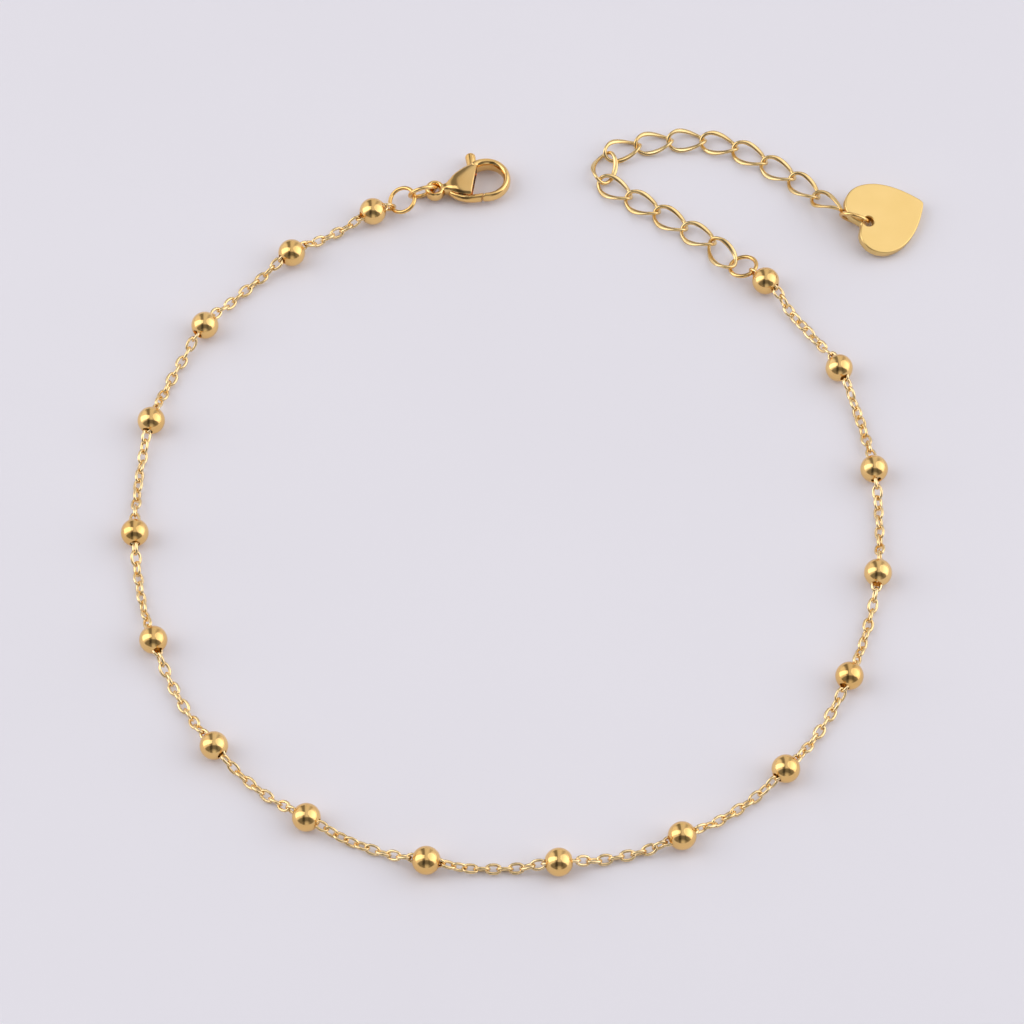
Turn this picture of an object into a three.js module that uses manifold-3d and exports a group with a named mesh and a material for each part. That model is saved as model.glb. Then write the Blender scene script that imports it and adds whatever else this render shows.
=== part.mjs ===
import * as THREE from 'three';
import Module from 'manifold-3d';
import { mergeVertices } from 'three/addons/utils/BufferGeometryUtils.js';

const wasm = await Module();
wasm.setup();

// Charm anklet, unfastened and lying on a flat surface. Millimetres, +Z up.

// Round beads and the fine chain through them
const beadDiameter = 3.0;
const beadBore = 1.25;
const chainWidth = 1.0;
const chainRestHeight = 0.6;
const chainLevelReach = 0.25;
const chainLowShares = [0.3, 0.5, 0.7];
const endLinkWidth = 1.3;
const endLinkWire = 0.3;
const endLinkStart = { clasp: 1.62, extender: 1.35 };
const extenderRingReach = 1.85;

// Jump rings: wire, inner width and the clearance between touching wires
const ringWire = 0.4;
const ringInner = 2.6;
const tagRingInner = 2.75;
const wireGap = 0.08;

// Extender chain of twisted curb links
const curbWire = 0.38;
const curbWidth = 2.9;
const curbPitch = 3.74;
const curbTwist = 40;
const curbRest = 0.66;
const extenderRingRest = 0.65;
const climbShare = 0.25;

// Lobster clasp, measured from the middle of its eye towards the hook
const claspThickness = 2.2;
const neckThickness = 1.0;
const eyeHole = 1.2;
const eyeWire = 0.6;
const eyeSlack = 0.4;
const neckStart = 1.0;
const neckWidth = 0.9;
const shellFront = 5.2;
const shellTop = 2.8;
const shellBottom = -1.97;
const shellBevel = 0.25;
const shellTopBack = 0.72;
const shellFlank = { upper: [[2.5, -0.05], [1.5, -1.17]], lower: [[0.9, 0.45], [1.8, -0.05]] };
const cheekTopAngle = -8;
const fullFrom = 0.4;
const hookCentre = [5.9, 0.34];
const hookInnerLength = 3.68;
const hookInnerWidth = 3.5;
const hookWall = 0.9;
const hookHeight = 1.6;
const hookRootAngle = 122;
const hookTipAngle = -109;
const hookSteps = 20;
const hookSides = 10;
const seamOverrun = 12;
const seamDepth = 2;
const eyeSides = 8;
const pivotPlace = [2.9, -0.7];
const pivotPin = 0.7;
const pinClearance = 0.1;
const pinInset = 0.4;
const leverThickness = 0.64;
const slotClearance = 0.1;
const leverHub = 1.6;
const hubAngles = { top: 144, bottom: -90 };
const hubClearance = 0.2;
const slotLean = 0.1;
const slotOver = 1;
const gateGap = 0.12;
const gateRadius = 1.58;
const gateHeight = 1.3;
const gateAngles = { top: -16, bottom: -56 };
const knobPlace = [4.6, 3.85];
const knobDiameter = 1.1;
const knobHeight = 1.3;
const stemWidth = 0.6;
const webBack = [-0.8, 0.53];
const webHeel = [1.68, -1.65];
const webShoulder = [1.58, -1.26];
const webThroat = [0.8, -0.5];
const stemRoot = 0.9;

// Heart tag, measured from the middle of its hole towards the tip
const tagThickness = 1.0;
const tagWidth = 8.7;
const tagTip = 7.1;
const tagLobes = 1.8;
const tagNotch = 0.95;
const tagHole = 1.35;
const tagBevel = 0.12;
const tagWidest = 0.95;
const tagLobe = { low: 0.9, high: 1.85, side: 3.3, crown: -0.5 };
const tagNotchFlare = [0.2, 0.5];
const tagFlank = { start: 3.25, end: [1.95, 2.75] };
const tagTipRound = [0.4, 0.75];

// Facets round a bead, a wire and a ring
const beadSides = 14;
const beadRows = 9;
const wireSides = 6;
const ringSides = 16;
const curbSides = 16;
const chainSides = 8;
const curveSteps = 5;
const tagCurveSteps = 8;
const tangentStep = 1e-3;
const sameCorner = 1e-4;

// Directions seen from above, in degrees from +X
const leadHeading = { clasp: 30, extender: 137 };
const claspRingHeading = 22;
const claspRingRise = 22;
const linkRingHeading = 20;
const linkRingRise = -8;
const linkRingLean = -72;
const claspHeading = 10;
const extenderRingRise = -17;
const extenderStartHeading = 182;
const tagRingHeading = -18;
const tagRingLean = -69;
const tagHeading = 26;
const tagFallHeading = -54;

// Middle of each bead on the surface, seen from above, from the clasp to the extender
const beadPlaces = [
  [-15.5, 37.8], [-24.4, 32.3], [-33.7, 22.8], [-39.1, 10.6], [-40.3, -3.4], [-37.8, -16.4],
  [-31.0, -28.9], [-21.2, -37.2], [-8.8, -42.1], [4.8, -42.3], [17.5, -39.3], [28.4, -31.6],
  [35.4, -20.7], [38.9, -8.3], [39.0, 4.5], [35.7, 17.3], [28.0, 28.6],
];

// Each curb link from the ring to the tag: its heading, and how far it leans about its own length
const curbLinks = [
  { heading: 121, lean: -20, lift: 0.25 },
  { heading: 147, lean: 0 },
  { heading: 143, lean: 0 },
  { heading: 148, lean: 0 },
  { heading: 146, lean: 0 },
  { heading: 79, lean: 0 },
  { heading: 20, lean: 0 },
  { heading: 10, lean: 0 },
  { heading: 0, lean: 0 },
  { heading: -16, lean: 0 },
  { heading: -32, lean: 0 },
  { heading: -34, lean: 0 },
  { heading: -47, lean: -6 },
  { heading: -45, lean: -24 },
];

const metal = {
  polished: { color: '#d9b06a', metalness: 1, roughness: 0.12 },
  chain: { color: '#dcb873', metalness: 1, roughness: 0.2 },
  satin: { color: '#e6c07a', metalness: 1, roughness: 0.35 },
};

const radians = THREE.MathUtils.degToRad;
const beadRadius = beadDiameter / 2;

function flatDirection(degrees) {
  return new THREE.Vector3(Math.cos(radians(degrees)), Math.sin(radians(degrees)), 0);
}

function namedMesh(name, geometry, kind) {
  const mesh = new THREE.Mesh(geometry, new THREE.MeshStandardMaterial(metal[kind]));
  mesh.name = name;
  return mesh;
}

// Joining and cutting closed solids

function solidOf(geometry) {
  const bare = geometry.clone();
  bare.deleteAttribute('normal');
  bare.deleteAttribute('uv');
  const merged = mergeVertices(bare, sameCorner);
  const corners = merged.index.array;
  const triangles = [];
  for (let i = 0; i < corners.length; i += 3) {
    const [a, b, c] = [corners[i], corners[i + 1], corners[i + 2]];
    if (a !== b && b !== c && c !== a) {
      triangles.push(a, b, c);
    }
  }
  return new wasm.Manifold(new wasm.Mesh({
    numProp: 3,
    vertProperties: new Float32Array(merged.attributes.position.array),
    triVerts: new Uint32Array(triangles),
  }));
}

function geometryOf(solid) {
  const mesh = solid.getMesh();
  const geometry = new THREE.BufferGeometry();
  geometry.setAttribute('position', new THREE.BufferAttribute(mesh.vertProperties, 3));
  geometry.setIndex(new THREE.BufferAttribute(mesh.triVerts, 1));
  geometry.computeVertexNormals();
  return geometry;
}

// Moves every corner of a geometry by a function of its place
function reshape(geometry, move) {
  const place = geometry.attributes.position;
  const corner = new THREE.Vector3();
  for (let i = 0; i < place.count; i += 1) {
    corner.fromBufferAttribute(place, i);
    move(corner);
    place.setXYZ(i, corner.x, corner.y, corner.z);
  }
  geometry.computeVertexNormals();
  return geometry;
}

// Path with its steps exactly on the given points, mitred at each one
class SteppedPath extends THREE.Curve {
  constructor(points) {
    super();
    this.points = points;
  }

  getPoint(t, target = new THREE.Vector3()) {
    const along = t * (this.points.length - 1);
    const start = Math.min(Math.floor(along), this.points.length - 2);
    return target.lerpVectors(this.points[start], this.points[start + 1], along - start);
  }

  getUtoTmapping(u) {
    return u;
  }

  getTangent(t, target = new THREE.Vector3()) {
    const last = this.points.length - 1;
    const here = Math.round(t * last);
    const before = this.points[Math.max(here - 1, 0)];
    const middle = this.points[here];
    const after = this.points[Math.min(here + 1, last)];
    const arriving = middle.clone().sub(before).normalize();
    const leaving = after.clone().sub(middle).normalize();
    return target.copy(arriving).add(leaving).normalize();
  }
}

function roundSection(width, height, sides) {
  const section = new THREE.Shape();
  for (let i = 0; i < sides; i += 1) {
    const turn = (i * 2 * Math.PI) / sides;
    const x = (width / 2) * Math.cos(turn);
    const y = (height / 2) * Math.sin(turn);
    if (i === 0) {
      section.moveTo(x, y);
    } else {
      section.lineTo(x, y);
    }
  }
  section.closePath();
  return section;
}

function sweep(section, points) {
  return new THREE.ExtrudeGeometry(section, {
    steps: points.length - 1,
    extrudePath: new SteppedPath(points),
  });
}

// Beads

function beadGeometry() {
  const boreRadius = beadBore / 2;
  const mouthAngle = Math.asin(boreRadius / beadRadius);
  const profile = [];
  for (let row = 0; row <= beadRows; row += 1) {
    const fromPole = mouthAngle + (row / beadRows) * (Math.PI - 2 * mouthAngle);
    profile.push(new THREE.Vector2(
      beadRadius * Math.sin(fromPole),
      -beadRadius * Math.cos(fromPole),
    ));
  }
  profile.push(profile[0].clone());
  return new THREE.LatheGeometry(profile, beadSides);
}

const beadCentres = beadPlaces.map(([x, y]) => new THREE.Vector3(x, y, beadRadius));
const chainPlan = new THREE.CatmullRomCurve3(
  beadPlaces.map(([x, y]) => new THREE.Vector3(x, y, 0)),
  false,
  'centripetal',
);
const lastBead = beadPlaces.length - 1;

// Direction in which the chain runs through a bead, towards the extender
function chainDirection(bead) {
  if (bead === 0) {
    return flatDirection(leadHeading.clasp).negate();
  }
  if (bead === lastBead) {
    return flatDirection(leadHeading.extender);
  }
  return chainPlan.getTangent(bead / lastBead).normalize();
}

function beadMesh(bead) {
  const name = `bead_${String(bead + 1).padStart(2, '0')}`;
  const mesh = namedMesh(name, beadGeometry(), 'polished');
  mesh.position.copy(beadCentres[bead]);
  mesh.quaternion.setFromUnitVectors(new THREE.Vector3(0, 1, 0), chainDirection(bead));
  return mesh;
}

// Wire bent into an oval, its plane turned the other way at each end
function ovalLinkGeometry(length, width, wire, twist, sides) {
  const halfLength = (length - wire) / 2;
  const halfWidth = (width - wire) / 2;
  const alongX = new THREE.Vector3(1, 0, 0);
  const turned = (vector, angle) => vector.applyAxisAngle(alongX, -radians(twist) * Math.cos(angle));
  const middle = (angle) => turned(
    new THREE.Vector3(halfLength * Math.cos(angle), halfWidth * Math.sin(angle), 0),
    angle,
  );
  return reshape(new THREE.TorusGeometry(1, wire / 2, wireSides, sides), (corner) => {
    const angle = Math.atan2(corner.y, corner.x);
    const outward = Math.hypot(corner.x, corner.y) - 1;
    const upward = corner.z;
    const tangent = middle(angle + tangentStep).sub(middle(angle - tangentStep)).normalize();
    const out = turned(
      new THREE.Vector3(halfWidth * Math.cos(angle), halfLength * Math.sin(angle), 0),
      angle,
    );
    out.addScaledVector(tangent, -out.dot(tangent)).normalize();
    const up = out.clone().cross(tangent);
    corner.copy(middle(angle)).addScaledVector(out, outward).addScaledVector(up, upward);
  });
}

// Lays a ring or link from one wire middle to the other, leaning about its own length
function layLink(mesh, from, to, lean) {
  const along = to.clone().sub(from);
  const flat = Math.hypot(along.x, along.y);
  mesh.position.copy(from).lerp(to, 0.5);
  mesh.rotation.set(radians(lean), -Math.atan2(along.z, flat), Math.atan2(along.y, along.x), 'ZYX');
  return mesh;
}

function jumpRing(name, inner, from, to, lean) {
  const geometry = new THREE.TorusGeometry((inner + ringWire) / 2, ringWire / 2, wireSides, ringSides);
  return layLink(namedMesh(name, geometry, 'polished'), from, to, lean);
}

function risingDirection(heading, rise) {
  return flatDirection(heading).multiplyScalar(Math.cos(radians(rise)))
    .add(new THREE.Vector3(0, 0, Math.sin(radians(rise))));
}

// Places along the clasp end: each wire hooks the one before it
const ringMean = ringInner + ringWire;
const hooked = ringWire + wireGap;
const endLinkReach = beadRadius + endLinkWire + ringWire + wireGap;
const firstBead = beadCentres[0];
const claspRingStart = firstBead.clone()
  .addScaledVector(flatDirection(leadHeading.clasp), endLinkReach)
  .setZ(endLinkWidth / 2 + wireGap);
const claspRingEnd = claspRingStart.clone()
  .addScaledVector(risingDirection(claspRingHeading, claspRingRise), ringMean);
const linkRingStart = claspRingEnd.clone()
  .addScaledVector(flatDirection(linkRingHeading), -hooked);
const linkRingEnd = linkRingStart.clone()
  .addScaledVector(risingDirection(linkRingHeading, linkRingRise), ringMean);
const eyeReach = (eyeHole - ringWire) / 2 - eyeSlack;
const eyeCentre = linkRingEnd.clone()
  .addScaledVector(flatDirection(claspHeading), eyeReach)
  .setZ(claspThickness / 2);

// Places along the extender
const extenderRingMiddle = beadCentres[lastBead].clone().addScaledVector(
  flatDirection(leadHeading.extender),
  extenderRingReach + (ringMean / 2) * Math.cos(radians(extenderRingRise)),
);

// Middle of the extender ring's wire where it lies in a heading from the ring's own middle
function extenderRingWire(heading) {
  const along = Math.cos(radians(heading - leadHeading.extender));
  const fall = Math.cos(radians(extenderStartHeading - leadHeading.extender)) - along;
  return extenderRingMiddle.clone()
    .addScaledVector(flatDirection(heading), (ringMean / 2) * Math.cos(radians(extenderRingRise) * along))
    .setZ(extenderRingRest - (ringMean / 2) * Math.sin(radians(extenderRingRise)) * fall);
}

// Direction of a wire that crosses a heading, turned up from level
function wireDirection(heading, turn) {
  return flatDirection(heading + 90).multiplyScalar(Math.cos(radians(turn)))
    .add(new THREE.Vector3(0, 0, Math.sin(radians(turn))));
}

// Half the step from the leaving wire's middle to the arriving one's, square to both wires
function jointOffset(joint) {
  const first = joint === 0;
  const last = joint === curbLinks.length;
  const arriving = first ? { heading: extenderStartHeading, turn: 0 } : {
    heading: curbLinks[joint - 1].heading,
    turn: curbLinks[joint - 1].lean - curbTwist,
  };
  const leaving = last ? { heading: tagRingHeading, turn: tagRingLean } : {
    heading: curbLinks[joint].heading,
    turn: curbLinks[joint].lean + curbTwist,
  };
  const spacing = wireGap + (first || last ? (ringWire + curbWire) / 2 : curbWire);
  return wireDirection(arriving.heading, arriving.turn)
    .cross(wireDirection(leaving.heading, leaving.turn))
    .setLength(spacing / 2);
}

const extenderRingNear = extenderRingWire(leadHeading.extender + 180);
const extenderRingFar = extenderRingWire(leadHeading.extender);
const curbJoints = [extenderRingWire(extenderStartHeading).sub(jointOffset(0))];
curbLinks.forEach(({ heading, lift = 0 }, index) => {
  const climb = lift + Math.abs(jointOffset(index + 1).z);
  curbJoints.push(curbJoints[index].clone()
    .addScaledVector(flatDirection(heading), curbPitch)
    .setZ(curbRest + climb));
});

// The last link climbs to the tag's ring, and the one before it a little way
const tagRingMean = tagRingInner + ringWire;
const tagRingHeight = (tagRingMean / 2) * Math.abs(Math.sin(radians(tagRingLean))) + ringWire / 2;
const lastJoint = curbLinks.length;
const lastClimb = tagRingHeight + jointOffset(lastJoint).z - curbJoints[lastJoint].z;
curbJoints[lastJoint].z += lastClimb;
curbJoints[lastJoint - 1].z += lastClimb * climbShare;

function curbLink(index) {
  const name = `extender_link_${String(index + 1).padStart(2, '0')}`;
  const length = curbPitch + 2 * curbWire + wireGap;
  const geometry = ovalLinkGeometry(length, curbWidth, curbWire, curbTwist, curbSides);
  const from = curbJoints[index].clone().sub(jointOffset(index));
  const to = curbJoints[index + 1].clone().add(jointOffset(index + 1));
  return layLink(namedMesh(name, geometry, 'polished'), from, to, curbLinks[index].lean);
}

const tagRingStart = curbJoints[lastJoint].clone().sub(jointOffset(lastJoint));
const tagRingEnd = tagRingStart.clone().addScaledVector(flatDirection(tagRingHeading), tagRingMean);

// Fine chain, one cord of its own width, level through the beads and lying between them

function chainPoints() {
  const reach = beadRadius + chainLevelReach;
  const points = [];
  beadCentres.forEach((centre, bead) => {
    const direction = chainDirection(bead);
    points.push(centre.clone().addScaledVector(direction, -reach));
    points.push(centre.clone().addScaledVector(direction, reach));
    if (bead < lastBead) {
      chainLowShares.forEach((share) => {
        points.push(chainPlan.getPoint((bead + share) / lastBead).setZ(chainRestHeight));
      });
    }
  });
  points[0].copy(firstBead).addScaledVector(chainDirection(0), -endLinkStart.clasp);
  points[points.length - 1].copy(beadCentres[lastBead])
    .addScaledVector(chainDirection(lastBead), endLinkStart.extender);
  return points;
}

// Last loop of the chain, from inside the cord's end to just past the ring's wire
function endLoop(cordEnd, ringPlace) {
  const along = ringPlace.clone().sub(cordEnd).normalize();
  const outer = ringPlace.clone().addScaledVector(along, (endLinkWire + ringWire) / 2 + wireGap);
  const inner = cordEnd.clone();
  const length = outer.distanceTo(inner) + endLinkWire;
  const mesh = new THREE.Mesh(
    ovalLinkGeometry(length, endLinkWidth, endLinkWire, 0, ringSides),
  );
  layLink(mesh, inner, outer, 90);
  mesh.updateMatrixWorld();
  return mesh.geometry.applyMatrix4(mesh.matrixWorld);
}

function satelliteChain() {
  const points = chainPoints();
  const cord = solidOf(sweep(roundSection(chainWidth, chainWidth, chainSides), points));
  const claspLoop = solidOf(endLoop(points[0], claspRingStart));
  const extenderLoop = solidOf(endLoop(points[points.length - 1], extenderRingNear));
  return namedMesh('satellite_chain', geometryOf(cord.add(claspLoop).add(extenderLoop)), 'chain');
}

// Lobster clasp

function flatPlate(shape, thickness, bevel) {
  return new THREE.ExtrudeGeometry(shape, {
    depth: thickness - 2 * bevel,
    steps: 1,
    curveSegments: curveSteps,
    bevelEnabled: bevel > 0,
    bevelThickness: bevel,
    bevelSize: bevel,
    bevelOffset: -bevel,
    bevelSegments: 2,
  }).translate(0, 0, bevel - thickness / 2);
}

function standingPin(diameter, height, place) {
  const pin = new THREE.CylinderGeometry(diameter / 2, diameter / 2, height, ringSides);
  return pin.rotateX(Math.PI / 2).translate(place[0], place[1], 0);
}

function hookPoints(fromAngle, toAngle, steps) {
  const points = [];
  for (let i = 0; i <= steps; i += 1) {
    const angle = radians(fromAngle + ((toAngle - fromAngle) * i) / steps);
    points.push(new THREE.Vector3(
      hookCentre[0] + ((hookInnerLength + hookWall) / 2) * Math.cos(angle),
      hookCentre[1] + ((hookInnerWidth + hookWall) / 2) * Math.sin(angle),
      0,
    ));
  }
  return points;
}

// Seam between hook and gate: square to the outer corner's path, so the gate can swing in
function hookSeam() {
  const [pivotX, pivotY] = pivotPlace;
  const tip = hookPoints(hookTipAngle, hookTipAngle, 1)[0];
  const tipAngle = radians(hookTipAngle);
  const across = new THREE.Vector2(
    -((hookInnerWidth + hookWall) / 2) * Math.cos(tipAngle),
    ((hookInnerLength + hookWall) / 2) * -Math.sin(tipAngle),
  ).normalize();
  const outer = new THREE.Vector2(tip.x, tip.y).addScaledVector(across, -hookWall / 2);
  const outward = new THREE.Vector2(outer.x - pivotX, outer.y - pivotY).normalize();
  const onward = new THREE.Vector2(-outward.y, outward.x);
  const inner = outer.clone().addScaledVector(onward, hookWall / onward.dot(across));
  return { outer, inner, outward, onward };
}

// What is cut off the hook's tip, on the gate's side of the seam
function seamCut() {
  const { outer, inner, outward, onward } = hookSeam();
  const low = outer.clone().addScaledVector(onward, -slotOver);
  const high = inner.clone().addScaledVector(onward, slotOver);
  return new THREE.Shape([
    low, high,
    high.clone().addScaledVector(outward, -seamDepth), low.clone().addScaledVector(outward, -seamDepth),
  ]);
}

const cheekRadius = gateRadius - gateGap;

function shellShape() {
  const [pivotX, pivotY] = pivotPlace;
  const cheekTop = radians(cheekTopAngle);
  const [[upperX, upperY], [upperBackX, upperBackY]] = shellFlank.upper;
  const [[lowerX, lowerY], [lowerFrontX, lowerFrontY]] = shellFlank.lower;
  const cheekBottom = Math.asin((shellBottom - pivotY) / cheekRadius);
  const shape = new THREE.Shape();
  shape.moveTo(neckStart, neckWidth / 2);
  shape.lineTo(neckStart, -neckWidth / 2);
  shape.bezierCurveTo(
    neckStart + lowerX, shellBottom + lowerY,
    neckStart + lowerFrontX, shellBottom + lowerFrontY,
    pivotX + cheekRadius * Math.cos(cheekBottom), shellBottom,
  );
  shape.absarc(pivotX, pivotY, cheekRadius, cheekBottom, cheekTop, false);
  shape.lineTo(shellFront, shellTop * shellTopBack);
  shape.lineTo(shellFront, shellTop);
  shape.bezierCurveTo(
    neckStart + upperX, shellTop + upperY,
    neckStart + upperBackX, shellTop + upperBackY,
    neckStart, neckWidth / 2,
  );
  return shape;
}

// The shell is thin at the neck and full at the cheeks
function taper(corner) {
  const share = THREE.MathUtils.smoothstep(corner.x, neckStart, pivotPlace[0] + fullFrom);
  corner.z *= THREE.MathUtils.lerp(neckThickness / claspThickness, 1, share);
}

function slotShape() {
  const back = pivotPlace[0] - leverHub / 2 - hubClearance;
  const front = knobPlace[0] + stemWidth / 2 + gateGap;
  const shape = new THREE.Shape();
  shape.moveTo(back, shellBottom - slotOver);
  shape.lineTo(front, shellBottom - slotOver);
  shape.lineTo(front, shellTop + slotOver);
  shape.lineTo(back - slotLean, shellTop + slotOver);
  return shape;
}

function claspBody() {
  const eye = new THREE.TorusGeometry((eyeHole + eyeWire) / 2, eyeWire / 2, eyeSides, ringSides);
  const shell = reshape(flatPlate(shellShape(), claspThickness, shellBevel), taper);
  const section = roundSection(hookHeight, hookWall, hookSides);
  const hook = sweep(section, hookPoints(hookRootAngle, hookTipAngle - seamOverrun, hookSteps));
  const tipCut = flatPlate(seamCut(), hookHeight + slotOver, 0);
  const slot = flatPlate(slotShape(), leverThickness + 2 * slotClearance, 0);
  const pin = standingPin(pivotPin, claspThickness - pinInset, pivotPlace);
  const solid = solidOf(hook).subtract(solidOf(tipCut)).add(solidOf(shell)).subtract(solidOf(slot))
    .add(solidOf(pin)).add(solidOf(eye));
  return namedMesh('clasp_body', geometryOf(solid), 'polished');
}

// Gate: the part of the hook's ring between the cheeks and the hook's tip
function gateShape() {
  const [pivotX, pivotY] = pivotPlace;
  const seam = hookSeam();
  const inner = seam.inner.addScaledVector(seam.outward, -gateGap);
  const outer = seam.outer.addScaledVector(seam.outward, -gateGap);
  const top = radians(gateAngles.top);
  const bottom = radians(gateAngles.bottom);
  const shape = new THREE.Shape();
  shape.moveTo(outer.x, outer.y);
  shape.lineTo(inner.x, inner.y);
  shape.lineTo(pivotX + gateRadius * Math.cos(top), pivotY + gateRadius * Math.sin(top));
  shape.absarc(pivotX, pivotY, gateRadius, top, bottom, true);
  return shape;
}

function webShape() {
  const [pivotX, pivotY] = pivotPlace;
  const [knobX, knobY] = knobPlace;
  const halfStem = stemWidth / 2;
  const shape = new THREE.Shape();
  shape.moveTo(knobX - halfStem, knobY);
  shape.lineTo(pivotX + webBack[0], pivotY + webBack[1]);
  shape.absarc(pivotX, pivotY, leverHub / 2, radians(hubAngles.top), radians(hubAngles.bottom), false);
  shape.lineTo(pivotX + webHeel[0], webHeel[1]);
  shape.lineTo(pivotX + webShoulder[0], webShoulder[1]);
  shape.lineTo(pivotX + webThroat[0], webThroat[1]);
  shape.lineTo(knobX + halfStem, knobY - stemRoot);
  shape.lineTo(knobX + halfStem, knobY);
  return shape;
}

function claspLever() {
  const web = flatPlate(webShape(), leverThickness, 0);
  const gate = flatPlate(gateShape(), gateHeight, 0);
  const knob = standingPin(knobDiameter, knobHeight, knobPlace);
  const bore = standingPin(pivotPin + 2 * pinClearance, claspThickness, pivotPlace);
  const solid = solidOf(web).add(solidOf(gate)).add(solidOf(knob)).subtract(solidOf(bore));
  return namedMesh('clasp_lever', geometryOf(solid), 'polished');
}

function lobsterClasp() {
  const clasp = new THREE.Group();
  clasp.add(claspBody(), claspLever());
  clasp.position.copy(eyeCentre);
  clasp.rotation.z = radians(claspHeading);
  return clasp;
}

// Heart tag

function heartShape() {
  const half = tagWidth / 2;
  const [flareX, flareY] = tagNotchFlare;
  const [endX, endY] = tagFlank.end;
  const [tipX, tipY] = tagTipRound;
  const { low, high, side, crown } = tagLobe;
  const shape = new THREE.Shape();
  shape.moveTo(-tagNotch, 0);
  shape.bezierCurveTo(-tagNotch - flareX, -flareY, -tagLobes, -low, -tagLobes, -high);
  shape.bezierCurveTo(-tagLobes, -side, crown, -half, tagWidest, -half);
  shape.bezierCurveTo(tagFlank.start, -half, tagTip - endX, -endY, tagTip - tipX, -tipY);
  shape.quadraticCurveTo(tagTip, 0, tagTip - tipX, tipY);
  shape.bezierCurveTo(tagTip - endX, endY, tagFlank.start, half, tagWidest, half);
  shape.bezierCurveTo(crown, half, -tagLobes, side, -tagLobes, high);
  shape.bezierCurveTo(-tagLobes, low, -tagNotch - flareX, flareY, -tagNotch, 0);
  const hole = new THREE.Path();
  hole.absarc(0, 0, tagHole / 2, 0, 2 * Math.PI, true);
  shape.holes.push(hole);
  return shape;
}

function heartTag() {
  const plate = new THREE.ExtrudeGeometry(heartShape(), {
    depth: tagThickness - 2 * tagBevel,
    steps: 1,
    curveSegments: tagCurveSteps,
    bevelThickness: tagBevel,
    bevelSize: tagBevel,
    bevelOffset: -tagBevel,
    bevelSegments: 1,
  }).translate(0, 0, tagBevel);
  const mesh = namedMesh('heart_tag', plate, 'satin');
  const raise = tagRingHeight - tagThickness / 2;
  const fall = flatDirection(tagFallHeading);
  const reach = Math.max(...heartShape().getPoints(tagCurveSteps).map(({ x, y }) => x * fall.x + y * fall.y));
  mesh.rotateZ(radians(tagHeading));
  mesh.rotateOnAxis(new THREE.Vector3(-fall.y, fall.x, 0), Math.asin(raise / reach));
  mesh.position.copy(tagRingEnd).setZ(raise);
  return mesh;
}

const anklet = new THREE.Group();
beadCentres.forEach((centre, bead) => anklet.add(beadMesh(bead)));
anklet.add(satelliteChain());
anklet.add(jumpRing('clasp_ring', ringInner, claspRingStart, claspRingEnd, 0));
anklet.add(jumpRing('clasp_link_ring', ringInner, linkRingStart, linkRingEnd, linkRingLean));
anklet.add(lobsterClasp());
anklet.add(jumpRing('extender_ring', ringInner, extenderRingNear, extenderRingFar, 0));
curbLinks.forEach((link, index) => anklet.add(curbLink(index)));
anklet.add(jumpRing('heart_ring', tagRingInner, tagRingStart, tagRingEnd, tagRingLean));
anklet.add(heartTag());

// Origin under the middle of the whole anklet, on the surface
const middle = new THREE.Box3().setFromObject(anklet, true).getCenter(new THREE.Vector3());
anklet.position.set(-middle.x, -middle.y, 0);

export default anklet;
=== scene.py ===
import math
import random

import bpy
import numpy as np
from mathutils import Matrix, Vector


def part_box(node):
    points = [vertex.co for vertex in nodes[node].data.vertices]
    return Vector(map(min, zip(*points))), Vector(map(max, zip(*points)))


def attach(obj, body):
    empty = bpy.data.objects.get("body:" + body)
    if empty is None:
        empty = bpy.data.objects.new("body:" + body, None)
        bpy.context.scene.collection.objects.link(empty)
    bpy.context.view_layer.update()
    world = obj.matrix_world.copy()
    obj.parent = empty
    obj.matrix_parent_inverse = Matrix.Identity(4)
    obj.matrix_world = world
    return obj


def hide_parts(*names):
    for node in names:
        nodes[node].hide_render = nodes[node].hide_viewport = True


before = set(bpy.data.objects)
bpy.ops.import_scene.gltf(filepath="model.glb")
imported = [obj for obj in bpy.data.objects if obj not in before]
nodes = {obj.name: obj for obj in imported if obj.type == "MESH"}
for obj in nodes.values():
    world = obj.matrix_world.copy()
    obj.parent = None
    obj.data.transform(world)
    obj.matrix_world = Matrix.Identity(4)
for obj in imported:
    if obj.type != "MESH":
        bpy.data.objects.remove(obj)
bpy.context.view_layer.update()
mm = 0.001
onPlane = 1e-6  # closer than this, in metres, counts as lying on a plane
print("frame loaded:", len(nodes), "nodes")


# camera: looks along +Y from 60 degrees above the surface; lengths in millimetres
firstBead = (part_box("bead_01")[0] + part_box("bead_01")[1]) / 2 / mm
view = {"fromFirstBead": (15.5, -37.8, -1.5), "elevation": 60.0, "distance": 484.3, "lens": 158.4,
        "sensor": 36.0}


def setCamera():
    data = bpy.data.cameras.new("photoCamera")
    data.lens = view["lens"]
    data.sensor_width = view["sensor"]
    data.clip_start = 0.01
    camera = bpy.data.objects.new("photoCamera", data)
    bpy.context.scene.collection.objects.link(camera)
    lift = math.radians(view["elevation"])
    away = Vector((0, -math.cos(lift), math.sin(lift))) * view["distance"]
    camera.location = (firstBead + Vector(view["fromFirstBead"]) + away) * mm
    camera.rotation_euler = (math.radians(90) - lift, 0, 0)
    bpy.context.scene.camera = camera


setCamera()
bpy.context.scene.view_settings.view_transform = "Standard"


# colours are given as sRGB hex values
def toLinear(hexColour):
    channels = [int(hexColour[i:i + 2], 16) / 255 for i in (1, 3, 5)]
    return [c / 12.92 if c <= 0.04045 else ((c + 0.055) / 1.055) ** 2.4 for c in channels] + [1.0]


def addNode(tree, kind, settings=None, links=None):
    node = tree.nodes.new(kind)
    for name, value in (settings or {}).items():
        if name in node.inputs:
            node.inputs[name].default_value = value
        else:
            setattr(node, name, value)
    for name, source in (links or {}).items():
        tree.links.new(source, node.inputs[name])
    return node


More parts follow.
